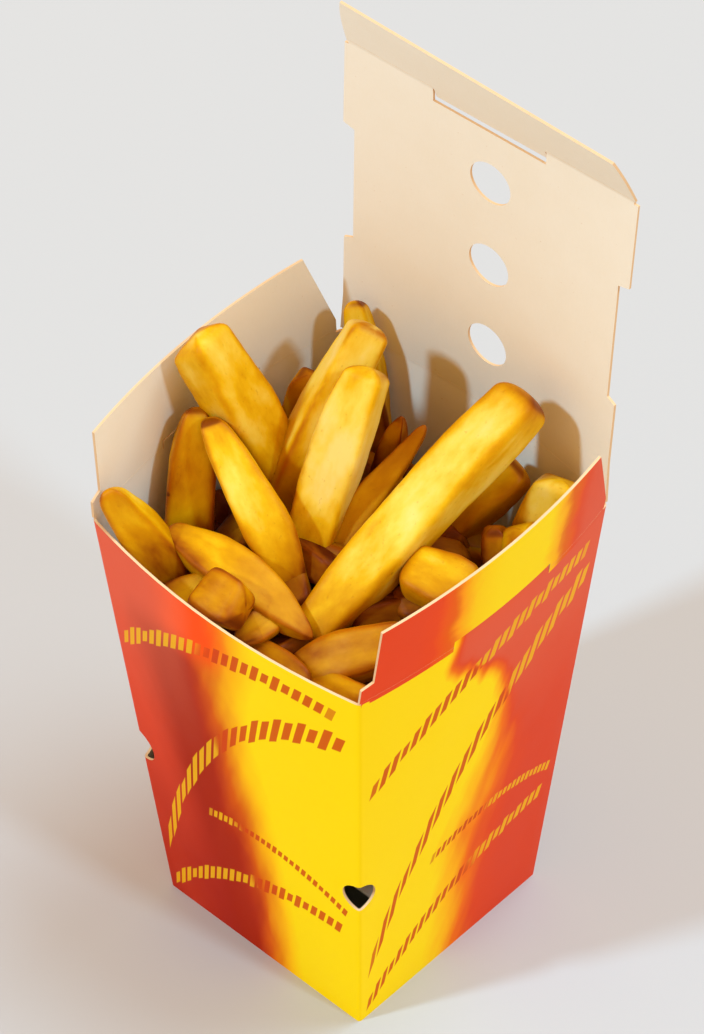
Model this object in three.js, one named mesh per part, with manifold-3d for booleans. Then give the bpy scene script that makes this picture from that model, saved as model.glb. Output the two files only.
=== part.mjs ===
// French fries standing in a folded board carton with an open lid.
// Millimetres, +Z up. The origin is the middle of the carton's foot, on the surface it stands on.
// -Y is the low front wall, +Y the back wall with the lid, and +X and -X carry the side flaps.

import * as THREE from 'three';
import { mergeVertices } from 'three/addons/utils/BufferGeometryUtils.js';
import Module from 'manifold-3d';

const wasm = await Module();
wasm.setup();

// ---------------------------------------------------------------- driving dimensions

const BOARD = 0.7;               // thickness of the carton board
const FOOT_SIDE = 68;            // outside width of the carton at its foot
const MOUTH_SIDE = 90;           // outside width between the corner folds at the rim
const RIM_HEIGHT = 143;          // height of the rim, where the flaps and the lid fold
const WALL_BULGE = 5;            // how far a wall swells outwards at the middle of the rim
const FOLD_GAP = 0.7;            // room along a fold, so that a panel can swing
const TOUCH_GAP = 0.35;          // gap between pieces that lie against each other

const CORNER_HOLE = { radius: 5.3, height: 57.8 };
const RIM_TAB = { from: -16, to: 18.5, height: 2.8 };

const FLAP = {
  lean: { right: 8, left: 3 },   // degrees outwards
  stepHeight: 6,                 // the step beside the front corner
  stepY: -41.5,
  frontHeight: 27,
  backHeight: 30,
  backTopY: 34.5,                // the back end is cut on a slant
  heelHeight: 4.5,
  heelY: 43.1,                   // it clears the lid's inner face
};

const LID = {
  length: 98.3,
  lean: 3.1,                     // degrees backwards, at the middle
  twist: 1.5,                    // degrees more at the right edge, and less at the left
  waistFrom: 33,                 // the side edges step in between these two heights
  waistTo: 70.5,
  halfBelowWaist: 44.3,
  halfWaist: 41.6,
  halfAboveWaist: 45,
};

const VENT = { radius: 6.3, x: 0.6, first: 22.3, spacing: 27.8, count: 3 };

const TUCK = {
  length: 17.5,
  foldLeft: 15.5,                // degrees forwards of upright at the left end
  foldRight: 22.5,               // and at the right end
  cornerWidth: 5,                // the free corners are quarter ellipses of this width
  tabHalf: 17,                   // the locking tab below the fold
  tabDepth: 3,
  slit: 0.8,                     // open slit under the locking tab
  spare: 3,                      // how far the cutting outline reaches past the free edge
};

const INNER_FLOOR = { height: 50, frontY: -31.5 };

const HEAP = {
  coreTop: 114,
  crown: 15,                     // the core's top rises this much to its middle
  cornerCutLow: 18,              // the core's corners are cut back this much at its foot
  cornerCutTop: 12,
  fillers: 22,                   // fries between the ones that stand out
  fillerSink: -1,                // a filler's middle lies between these two above the core's top
  fillerRise: 4,
  fillerReach: 33,               // and no further than this from the carton's middle
  fillerHalf: [17, 22],          // half a filler's length, from and to
  fillerSide: [10, 12],          // its thickness, from and to
  fillerTilt: 6,                 // how far an end lies above or below the middle, at most
  seed: 11,
  room: 60,                      // how far above the rim fries may stand
};

// Each fry that stands out: its two ends, width, thickness, how much it narrows at each end
// (1 is blunt, 0 is a point) and how far it is rolled about its length, in degrees.
const FRIES = [
  { name: 'thick back left', low: [-20, 6.5, 110], high: [-42.5, -7.5, 178],
    size: [16.5, 13.5], ends: [0.8, 0.84], roll: 20 },
  { name: 'back middle', low: [-27.5, -1, 113.5], high: [-21, 31, 171],
    size: [13, 12], ends: [0.8, 0.8], roll: 10 },
  { name: 'middle', low: [-9.5, -12, 109.5], high: [-10, 18.5, 173],
    size: [14, 12], ends: [0.75, 0.82], roll: 15 },
  { name: 'long diagonal', low: [9, -17.5, 127], high: [22, 40, 171],
    size: [18.5, 14.5], ends: [0.6, 0.82], roll: 12 },
  { name: 'thin brown', low: [-6, -13.5, 117], high: [-0.5, 28, 152],
    size: [8, 8], ends: [0.5, 0.3], roll: 30 },
  { name: 'pointed left', low: [3, -20.5, 127], high: [-36.5, -12, 160],
    size: [13.5, 11.5], ends: [0.25, 0.45], roll: 0 },
  { name: 'behind left', low: [-34, -24.5, 111], high: [-42.5, -10, 158],
    size: [13, 10], ends: [0.8, 0.4], roll: 10 },
  { name: 'left corner', low: [-25.5, -31, 110], high: [-41, -43.5, 155.5],
    size: [11.5, 9.5], ends: [0.8, 0.55], roll: 0 },
  { name: 'front diagonal', low: [13.5, -28, 129.5], high: [-33, -31, 137],
    size: [13.5, 11], ends: [0.2, 0.4], roll: 0 },
  { name: 'front pale', low: [-24.5, -42, 126], high: [-13.5, -31, 131],
    size: [9, 8], ends: [0.7, 0.7], roll: 20 },
  { name: 'front brown', low: [-18, -34.5, 130], high: [-3, -33.5, 131.5],
    size: [12, 11], ends: [0.8, 0.82], roll: 10 },
  { name: 'front crumb', low: [-2, -39.5, 127], high: [3.5, -28, 130],
    size: [7.5, 7], ends: [0.5, 0.5], roll: 30 },
  { name: 'front right', low: [11, -34, 117], high: [32.5, -13, 131],
    size: [13, 11.5], ends: [0.7, 0.8], roll: 0 },
  { name: 'front low', low: [-3.5, -38, 121], high: [20.5, -36.5, 122],
    size: [11, 10], ends: [0.6, 0.6], roll: 15 },
  { name: 'front corner', low: [13, -34, 118], high: [37, -31, 125.5],
    size: [9, 8.5], ends: [0.7, 0.7], roll: 10 },
  { name: 'right stub', low: [19.5, -1.5, 138.5], high: [39.5, 4.5, 137],
    size: [13.5, 12.5], ends: [0.85, 0.8], roll: 25 },
  { name: 'right under', low: [20, -6, 126], high: [30.5, 10.5, 128],
    size: [11, 10], ends: [0.7, 0.7], roll: 0 },
  { name: 'right behind', low: [10, 22.5, 124.5], high: [20, 40.5, 143],
    size: [13, 11.5], ends: [0.7, 0.75], roll: 10 },
  { name: 'right dark', low: [15, 21.5, 119], high: [14, 20.5, 131],
    size: [9, 8], ends: [0.8, 0.6], roll: 40 },
  { name: 'right tan', low: [30, 21.5, 122], high: [26.5, 24, 138],
    size: [8, 7.5], ends: [0.8, 0.7], roll: 20 },
  { name: 'right pale', low: [34, 26, 124], high: [32.5, 26, 140],
    size: [9.5, 9], ends: [0.8, 0.75], roll: 15 },
  { name: 'right corner', low: [29, 33.5, 114], high: [35, 39, 149.5],
    size: [13, 12], ends: [0.8, 0.85], roll: 20 },
  { name: 'back corner', low: [-25, 38, 112], high: [-36.5, 40.5, 162],
    size: [9, 8.5], ends: [0.8, 0.6], roll: 15 },
  { name: 'back dark', low: [-40, 22, 121], high: [-35.5, 23.5, 149],
    size: [10, 9.5], ends: [0.8, 0.6], roll: 0 },
  { name: 'back crisp', low: [-12, 23, 126], high: [-6, 25.5, 153],
    size: [6, 6], ends: [0.8, 0.3], roll: 30 },
];

const FRY_SIDES = 8;
const FRY_STEPS = 5;
const FRY_BEVEL = 2.2;           // length of the bevel round each end face
const FRY_END_FACE = 0.78;       // size of the end face beside the fry just behind it
const FRY_FULLNESS = 0.85;       // how much of its full girth a fry has nearly a third of the way in
const WALL_STEPS = 8;

// ---------------------------------------------------------------- colours

function surface(color, roughness) {
  return new THREE.MeshStandardMaterial({ color, roughness, metalness: 0, flatShading: true });
}

const MATERIALS = {
  print: surface(0xf2b800, 0.32),
  board: surface(0xeee2d2, 0.7),
  fries: surface(0xe0a92c, 0.5),
};

// ---------------------------------------------------------------- small helpers

const radians = THREE.MathUtils.degToRad;
const lerp = THREE.MathUtils.lerp;

// Moves every vertex of a closed geometry by a function and returns it as a solid.
function shaped(geometry, place) {
  const bare = geometry.clone();
  bare.deleteAttribute('normal');
  bare.deleteAttribute('uv');
  const closed = mergeVertices(bare, 1e-5);
  const position = closed.getAttribute('position');
  const point = new THREE.Vector3();
  for (let i = 0; i < position.count; i += 1) {
    point.fromBufferAttribute(position, i);
    place(point);
    position.setXYZ(i, point.x, point.y, point.z);
  }
  const mesh = new wasm.Mesh({
    numProp: 3,
    vertProperties: new Float32Array(position.array),
    triVerts: new Uint32Array(closed.getIndex().array),
  });
  return new wasm.Manifold(mesh);
}

function block(low, high) {
  const size = high.map((value, i) => value - low[i]);
  return shaped(new THREE.BoxGeometry(...size), (p) => {
    p.x += low[0] + size[0] / 2;
    p.y += low[1] + size[1] / 2;
    p.z += low[2] + size[2] / 2;
  });
}

function meshOf(name, solid, material) {
  const { vertProperties, triVerts, numProp } = solid.getMesh();
  const geometry = new THREE.BufferGeometry();
  const positions = new Float32Array((vertProperties.length / numProp) * 3);
  for (let i = 0; i < positions.length / 3; i += 1) {
    positions.set(vertProperties.slice(i * numProp, i * numProp + 3), i * 3);
  }
  geometry.setAttribute('position', new THREE.BufferAttribute(positions, 3));
  geometry.setIndex(new THREE.BufferAttribute(new Uint32Array(triVerts), 1));
  geometry.computeVertexNormals();
  const mesh = new THREE.Mesh(geometry, material);
  mesh.name = name;
  return mesh;
}

// ---------------------------------------------------------------- carton body

// Half the outside width between the corner folds, at a height.
function halfWidth(z) {
  return lerp(FOOT_SIDE, MOUTH_SIDE, z / RIM_HEIGHT) / 2;
}

// How far a wall swells at a height, for a share of the way from its middle to its corner fold.
function swell(z, share) {
  return WALL_BULGE * (Math.min(z, RIM_HEIGHT) / RIM_HEIGHT) * (1 - share * share);
}

// The inside or outside of the carton as one solid: a square prism that widens upwards, with
// every wall swollen between its corner folds. Above the rim it goes on straight up if asked.
function cartonSolid(inset, zLow, zHigh, upright = false) {
  const box = new THREE.BoxGeometry(2, 2, 1, WALL_STEPS, WALL_STEPS, 5);
  return shaped(box, (p) => {
    const z = lerp(zLow, zHigh, p.z + 0.5);
    const half = halfWidth(upright ? Math.min(z, RIM_HEIGHT) : z) - inset;
    const { x, y } = p;
    p.set(x * (half + swell(z, y)), y * (half + swell(z, x)), z);
  });
}

// A round hole punched across a corner fold, seen along the fold's diagonal.
function cornerHole(signX) {
  const { radius, height } = CORNER_HOLE;
  const corner = halfWidth(height);
  const along = new THREE.Vector3(signX, -1, 0).normalize();
  const across = new THREE.Vector3(along.y, -along.x, 0);
  const punch = new THREE.CylinderGeometry(radius, radius, 4 * radius, 24);
  return shaped(punch, (p) => {
    const reach = p.y;
    const side = p.x * Math.SQRT1_2;
    const rise = p.z;
    p.set(signX * corner, -corner, height + rise);
    p.addScaledVector(along, reach);
    p.addScaledVector(across, side);
  });
}

// The carton: four swollen walls and a foot, cut level at the rim but for the two side tabs.
function buildBody() {
  const top = RIM_HEIGHT + RIM_TAB.height;
  const outside = cartonSolid(0, 0, top);
  const inside = cartonSolid(BOARD, BOARD, top + BOARD);
  const wide = MOUTH_SIDE;
  const belowRim = block([-wide, -wide, -BOARD], [wide, wide, RIM_HEIGHT]);
  const sideTabs = block([-wide, RIM_TAB.from, RIM_HEIGHT - BOARD], [wide, RIM_TAB.to, top]);
  const shell = outside.subtract(inside).intersect(belowRim.add(sideTabs));
  return shell.subtract(cornerHole(1)).subtract(cornerHole(-1));
}

// A board pad wedged between the walls, on which the fries stand.
function buildInnerFloor() {
  const { height, frontY } = INNER_FLOOR;
  const half = halfWidth(height) - BOARD - TOUCH_GAP;
  return block([-half, frontY, height], [half, half, height + BOARD]);
}

// ---------------------------------------------------------------- side flaps

// The flap's outline seen from the side: y runs to the back, z up from the fold.
function flapOutline(lean) {
  const rise = Math.cos(radians(lean));
  const half = MOUTH_SIDE / 2;
  const outline = new THREE.Shape();
  outline.moveTo(-half, FOLD_GAP);
  outline.lineTo(-half, FLAP.stepHeight * rise);
  outline.lineTo(FLAP.stepY, (FLAP.stepHeight + 1) * rise);
  outline.lineTo(FLAP.stepY, FLAP.frontHeight * rise);
  outline.lineTo(FLAP.backTopY, FLAP.backHeight * rise);
  outline.lineTo(FLAP.heelY, FLAP.heelHeight * rise);
  outline.lineTo(FLAP.heelY, FOLD_GAP);
  outline.lineTo(RIM_TAB.to + FOLD_GAP, FOLD_GAP);
  outline.lineTo(RIM_TAB.to + FOLD_GAP, RIM_TAB.height + FOLD_GAP);
  outline.lineTo(RIM_TAB.from - FOLD_GAP, RIM_TAB.height + FOLD_GAP);
  outline.lineTo(RIM_TAB.from - FOLD_GAP, FOLD_GAP);
  return outline;
}

// A side flap: a swollen board that goes on from the wall, leaning outwards, cut to its outline.
function buildFlap(sign, lean) {
  const half = MOUTH_SIDE / 2;
  const tall = FLAP.backHeight + 4;
  const sheet = new THREE.BoxGeometry(1, 2, 1, 1, WALL_STEPS, 1);
  const board = shaped(sheet, (p) => {
    const up = (p.z + 0.5) * tall;
    const outer = half + swell(RIM_HEIGHT, p.y) + up * Math.sin(radians(lean));
    const depth = (0.5 - p.x * sign) * BOARD;
    p.set(sign * (outer - depth), p.y * half, RIM_HEIGHT + up * Math.cos(radians(lean)));
  });
  const cutter = new THREE.ExtrudeGeometry(flapOutline(lean), {
    depth: 2 * MOUTH_SIDE,
    bevelEnabled: false,
  });
  const outline = shaped(cutter, (p) => {
    p.set(p.z - MOUTH_SIDE, p.x, RIM_HEIGHT + p.y);
  });
  return board.intersect(outline);
}

// ---------------------------------------------------------------- lid

// The outer face of the lid: x runs across, up is measured along the lid from its fold.
function lidOuterY(x, up) {
  const half = MOUTH_SIDE / 2;
  const share = Math.min(Math.abs(x) / half, 1);
  const lean = radians(LID.lean + LID.twist * (x / half));
  return half + WALL_BULGE * (1 - share * share) * (1 - up / LID.length) + up * Math.sin(lean);
}

const lidRise = Math.cos(radians(LID.lean));

function lidOutline() {
  const { length, waistFrom, waistTo, halfBelowWaist, halfWaist, halfAboveWaist } = LID;
  const half = MOUTH_SIDE / 2;
  const rightSide = [
    [half, FOLD_GAP],
    [halfBelowWaist, waistFrom * 0.4],
    [halfBelowWaist, waistFrom],
    [halfWaist, waistFrom + 1],
    [halfWaist, waistTo],
    [halfAboveWaist, waistTo + 1],
    [half, length - FOLD_GAP],
  ];
  const notchHalf = TUCK.tabHalf + FOLD_GAP / 2;
  const notchUp = length - TUCK.tabDepth - TUCK.slit;
  const notch = [
    [notchHalf, length - FOLD_GAP],
    [notchHalf, notchUp],
    [-notchHalf, notchUp],
    [-notchHalf, length - FOLD_GAP],
  ];
  const leftSide = rightSide.map(([x, up]) => [-x, up]).reverse();
  const points = [...rightSide, ...notch, ...leftSide];
  const outline = new THREE.Shape(points.map(([x, up]) => new THREE.Vector2(x, up * lidRise)));
  for (let i = 0; i < VENT.count; i += 1) {
    const vent = new THREE.Path();
    vent.absarc(VENT.x, (VENT.first + i * VENT.spacing) * lidRise, VENT.radius, 0, 2 * Math.PI);
    outline.holes.push(vent);
  }
  return outline;
}

function buildLid() {
  const half = MOUTH_SIDE / 2;
  const tall = LID.length + 2;
  const sheet = new THREE.BoxGeometry(2, 1, 1, WALL_STEPS, 1, 6);
  const board = shaped(sheet, (p) => {
    const up = (p.z + 0.5) * tall;
    const x = p.x * (half + 1);
    p.set(x, lidOuterY(x, up) - (0.5 - p.y) * BOARD, RIM_HEIGHT + up * lidRise);
  });
  const shape = new THREE.ExtrudeGeometry(lidOutline(), {
    depth: 2 * MOUTH_SIDE,
    bevelEnabled: false,
    curveSegments: 24,
  });
  const outline = shaped(shape, (p) => {
    p.set(p.x, 2 * MOUTH_SIDE - p.z, RIM_HEIGHT + p.y);
  });
  return board.intersect(outline);
}

// ---------------------------------------------------------------- tuck flap

// The tuck flap goes on from the lid's fold, folded forwards, with a locking tab below the fold.
function buildTuck() {
  const half = MOUTH_SIDE / 2;
  const { length, foldLeft, foldRight, cornerWidth, tabHalf, tabDepth } = TUCK;
  const low = -tabDepth;
  const sheet = new THREE.BoxGeometry(2, 1, 1, WALL_STEPS, 1, 1);
  const board = shaped(sheet, (p) => {
    const x = p.x * half;
    const along = lerp(low, length, p.z + 0.5);
    const fold = radians(lerp(foldLeft, foldRight, (p.x + 1) / 2));
    const innerY = lidOuterY(x, LID.length) - BOARD;
    const depth = (p.y + 0.5) * BOARD;
    const zFold = RIM_HEIGHT + LID.length * lidRise;
    p.set(
      x,
      innerY - along * Math.sin(fold) + depth * Math.cos(fold),
      zFold + along * Math.cos(fold) + depth * Math.sin(fold),
    );
  });
  const foldMiddle = radians((foldLeft + foldRight) / 2);
  const high = length * Math.cos(foldMiddle) + TUCK.spare;
  const end = half - FOLD_GAP;
  const foot = FOLD_GAP / 2;
  const outline = new THREE.Shape();
  outline.moveTo(tabHalf, foot);
  outline.lineTo(end, foot);
  outline.absellipse(half - cornerWidth, foot, cornerWidth - FOLD_GAP, high - foot, 0, Math.PI / 2);
  outline.lineTo(-half + cornerWidth, high);
  outline.absellipse(
    -half + cornerWidth, foot, cornerWidth - FOLD_GAP, high - foot, Math.PI / 2, Math.PI,
  );
  outline.lineTo(-tabHalf, foot);
  outline.lineTo(-tabHalf, -tabDepth);
  outline.lineTo(tabHalf, -tabDepth);
  const shape = new THREE.ExtrudeGeometry(outline, {
    depth: 2 * MOUTH_SIDE,
    bevelEnabled: false,
    curveSegments: 6,
  });
  const zFold = RIM_HEIGHT + LID.length * lidRise;
  const cut = shaped(shape, (p) => {
    p.set(p.x, 2 * MOUTH_SIDE - p.z, zFold + p.y);
  });
  return board.intersect(cut);
}

// ---------------------------------------------------------------- fries

// Repeatable random numbers between 0 and 1.
function randomSource(seed) {
  let state = seed;
  return () => {
    state = (state * 16807) % 2147483647;
    return state / 2147483647;
  };
}

// Pushes a circle's cosine or sine out towards a square with cut corners.
function squared(value) {
  return Math.sign(value) * Math.abs(value) ** 0.55;
}

// A fry: a bar with cut corners from its low end to its high end, narrowed towards both.
function fry({ low, high, size, ends, roll }) {
  const from = new THREE.Vector3(...low);
  const to = new THREE.Vector3(...high);
  const along = to.clone().sub(from);
  const length = along.length();
  along.normalize();
  const side = new THREE.Vector3().crossVectors(along, new THREE.Vector3(0, 0, 1)).normalize();
  const lift = new THREE.Vector3().crossVectors(side, along);
  side.applyAxisAngle(along, radians(roll));
  lift.applyAxisAngle(along, radians(roll));
  const bar = new THREE.CylinderGeometry(1, 1, 1, FRY_SIDES, FRY_STEPS);
  const bevel = FRY_BEVEL / length;
  const rings = [
    { at: 0, scale: ends[0] * FRY_END_FACE },
    { at: bevel, scale: ends[0] },
    { at: 0.3, scale: lerp(ends[0], 1, FRY_FULLNESS) },
    { at: 0.7, scale: lerp(ends[1], 1, FRY_FULLNESS) },
    { at: 1 - bevel, scale: ends[1] },
    { at: 1, scale: ends[1] * FRY_END_FACE },
  ];
  return shaped(bar, (p) => {
    const { at, scale } = rings[Math.round((p.y + 0.5) * FRY_STEPS)];
    const rim = Math.hypot(p.x, p.z) > 0.5 ? scale / 2 : 0;
    const angle = Math.atan2(p.z, p.x) + Math.PI / FRY_SIDES;
    const across = squared(Math.cos(angle)) * rim * size[0];
    const upward = squared(Math.sin(angle)) * rim * size[1];
    p.copy(from);
    p.addScaledVector(along, at * length);
    p.addScaledVector(side, across);
    p.addScaledVector(lift, upward);
  });
}

// The heap's hidden middle: an upright block with cut corners that widens with the carton.
function heapCore() {
  const low = INNER_FLOOR.height + BOARD + TOUCH_GAP;
  const column = new THREE.CylinderGeometry(1, 1, 1, 8, 1);
  return shaped(column, (p) => {
    const t = p.y + 0.5;
    const z = lerp(low, HEAP.coreTop, t);
    const half = halfWidth(z) - BOARD - TOUCH_GAP;
    const cut = half - lerp(HEAP.cornerCutLow, HEAP.cornerCutTop, t);
    if (Math.hypot(p.x, p.z) < 0.5) {
      p.set(0, 0, z + t * HEAP.crown);
      return;
    }
    const eighth = Math.round(Math.atan2(-p.z, p.x) / (Math.PI / 4) + 8) % 8;
    const corner = [
      [1, 0], [1, 1], [0, 1], [-1, 1], [-1, 0], [-1, -1], [0, -1], [1, -1],
    ][eighth];
    const diagonal = Math.abs(corner[0] * corner[1]);
    const reach = diagonal ? (half + cut) / 2 : half;
    p.set(corner[0] * reach, corner[1] * reach, z);
  });
}

// Fries lying across the core at all angles, which fill the gaps between those that stand out.
function fillerFries() {
  const random = randomSource(HEAP.seed);
  const fillers = [];
  for (let i = 0; i < HEAP.fillers; i += 1) {
    const turn = (i + random()) * (2 * Math.PI / HEAP.fillers);
    const reach = HEAP.fillerReach * Math.sqrt(random());
    const heading = random() * Math.PI;
    const halfLength = lerp(...HEAP.fillerHalf, random());
    const slope = 1 - reach / halfWidth(HEAP.coreTop);
    const z = HEAP.coreTop + HEAP.crown * slope + lerp(HEAP.fillerSink, HEAP.fillerRise, random());
    const tilt = (2 * random() - 1) * HEAP.fillerTilt;
    const x = reach * Math.cos(turn);
    const y = reach * Math.sin(turn);
    fillers.push({
      low: [x - halfLength * Math.cos(heading), y - halfLength * Math.sin(heading), z - tilt],
      high: [x + halfLength * Math.cos(heading), y + halfLength * Math.sin(heading), z + tilt],
      size: [lerp(...HEAP.fillerSide, random()), HEAP.fillerSide[0]],
      ends: [0.75, 0.75],
      roll: 60 * random(),
    });
  }
  return fillers;
}

// The heap: core and fries as one solid, kept clear of the carton, without any loose scrap.
// It may lean out over the low front wall.
function buildHeap() {
  let heap = heapCore();
  for (const piece of [...FRIES, ...fillerFries()]) {
    heap = heap.add(fry(piece));
  }
  const low = INNER_FLOOR.height + BOARD + TOUCH_GAP;
  const within = cartonSolid(BOARD + TOUCH_GAP, low, RIM_HEIGHT + HEAP.room, true);
  const halfFront = MOUTH_SIDE / 2 - 2 * BOARD;
  const overFront = block(
    [-halfFront, -MOUTH_SIDE, RIM_HEIGHT + TOUCH_GAP],
    [halfFront, FLAP.stepY, RIM_HEIGHT + HEAP.room],
  );
  const room = within.add(overFront);
  const parts = heap.intersect(room).decompose();
  return parts.reduce((best, part) => (part.volume() > best.volume() ? part : best));
}

// ---------------------------------------------------------------- the object

const carton = new THREE.Group();
carton.add(meshOf('carton_body', buildBody(), MATERIALS.print));
carton.add(meshOf('inner_floor', buildInnerFloor(), MATERIALS.board));
carton.add(meshOf('side_flap_right', buildFlap(1, FLAP.lean.right), MATERIALS.board));
carton.add(meshOf('side_flap_left', buildFlap(-1, FLAP.lean.left), MATERIALS.board));
carton.add(meshOf('lid_panel', buildLid(), MATERIALS.board));
carton.add(meshOf('tuck_flap', buildTuck(), MATERIALS.board));
carton.add(meshOf('fries_heap', buildHeap(), MATERIALS.fries));

export default carton;
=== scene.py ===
"""French fries standing in a printed board carton with an open lid.

Lengths in this script are millimetres and become metres where a mesh is made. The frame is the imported
model's: +Z up, the origin in the middle of the carton's foot, -Y the low front wall, +Y the wall with
the lid, +X and -X the walls with the side flaps.

Board: every panel is a grid in the flat board's own coordinates (across, up), with the cells outside
its cut outline left out, carried onto the panel's curved face by a formula.
Fries: every fry is a tube, a rounded square carried along a slightly bent line between its two ends.
"""

import math
from typing import NamedTuple
import bpy
import numpy as np
from mathutils import Matrix


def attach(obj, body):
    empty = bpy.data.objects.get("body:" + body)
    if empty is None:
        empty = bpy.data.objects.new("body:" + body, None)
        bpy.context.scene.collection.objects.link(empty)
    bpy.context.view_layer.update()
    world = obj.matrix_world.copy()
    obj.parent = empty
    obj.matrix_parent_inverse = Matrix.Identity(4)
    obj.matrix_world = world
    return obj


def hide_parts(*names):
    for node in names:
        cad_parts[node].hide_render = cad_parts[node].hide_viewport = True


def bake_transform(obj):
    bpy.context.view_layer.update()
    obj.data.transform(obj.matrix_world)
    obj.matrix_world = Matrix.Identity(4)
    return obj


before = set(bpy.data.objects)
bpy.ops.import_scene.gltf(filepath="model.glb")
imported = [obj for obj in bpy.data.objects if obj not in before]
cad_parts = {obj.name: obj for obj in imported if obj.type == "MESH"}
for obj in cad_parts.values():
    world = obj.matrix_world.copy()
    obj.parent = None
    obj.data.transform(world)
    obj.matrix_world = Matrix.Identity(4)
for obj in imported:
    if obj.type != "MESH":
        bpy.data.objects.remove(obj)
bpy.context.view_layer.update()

MM = 0.001

# ------------------------------------------------------------------ the carton's sizes

BOARD = 0.7
FOOT_SIDE = 68
MOUTH_SIDE = 90
RIM_HEIGHT = 143
WALL_BULGE = 5
FOLD_GAP = 0.7
TOUCH_GAP = 0.35
CUT_GAP = 0.2                         # between a rim tab and the flap that it was cut from
FOLD_ROUND = 1.1                      # radius of the outside of a corner fold
HALF_MOUTH = MOUTH_SIDE / 2

CORNER_HOLE = {"radius": 5.3, "height": 57.8, "fine": 7}   # fine: how far round it the grid is fine
RIM_TAB = {"from": -16, "to": 18.5, "height": 2.8}
FLAP = {"lean_right": 8, "lean_left": 3, "step_height": 6, "step_y": -41.5, "front_height": 27,
        "back_height": 30, "back_top_y": 34.5, "heel_height": 4.5, "heel_y": 43.1,
        "straight": (-0.8, 0.62)}     # the shares of its half width between which its columns are straight
LID = {"foot": 0.9, "length": 98.3, "lean": 3.1, "twist": 1.5, "waist_from": 33, "waist_to": 70.5,
       "half_below": 44.3, "half_waist": 41.6, "half_above": 45, "narrowed_by": 0.4, "straight": 36}
VENT = {"radius": 6.3, "x": 0.6, "first": 22.3, "spacing": 27.8, "count": 3, "fine": 3}
TUCK = {"length": 17.5, "fold_left": 15.5, "fold_right": 22.5, "corner_width": 5, "tab_half": 17,
        "tab_depth": 3, "slit": 0.8, "round_past": 3, "straight": 38.25, "print_from": 1.7}
# A fold strip: half its width, how far it stands proud, its steps, where it ends on each fold and beside
# the locking tab, and from how far below to how far above its fold it turns. The tuck's fold lies
# tuck_back behind the mouth.
CREASE = {"reach": 0.95, "proud": 0.03, "step": 4, "flap_ends": (-44.5, 42.8), "lid_end": 44.3,
          "tuck_end": 43.8, "tab_gap": 0.4, "below": 0.5, "above": 0.9, "round_tuck": 0.6, "tuck_back": 5}
SHARP_FROM = 35                       # degrees between two faces from which their edge is sharp

INNER_FLOOR_TOP = 50.7

# ------------------------------------------------------------------ the fries


class Fry(NamedTuple):
    """One fry: the middles of its two ends and how it is formed between them."""

    low: tuple
    high: tuple
    size: tuple                       # width and thickness
    ends: tuple                       # its girth at the low and the high end, as shares of its full girth
    roll: float                       # in degrees, round its own line
    brown: float                      # how brown it is fried, from 0, pale, to 1
    bend: float = 0                   # how far its middle lies off the straight line
    cut: tuple = None                 # slant of its high end, mm along for each mm across and through
    cap: float = 3.2                  # how far from its tips it is rounded


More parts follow.
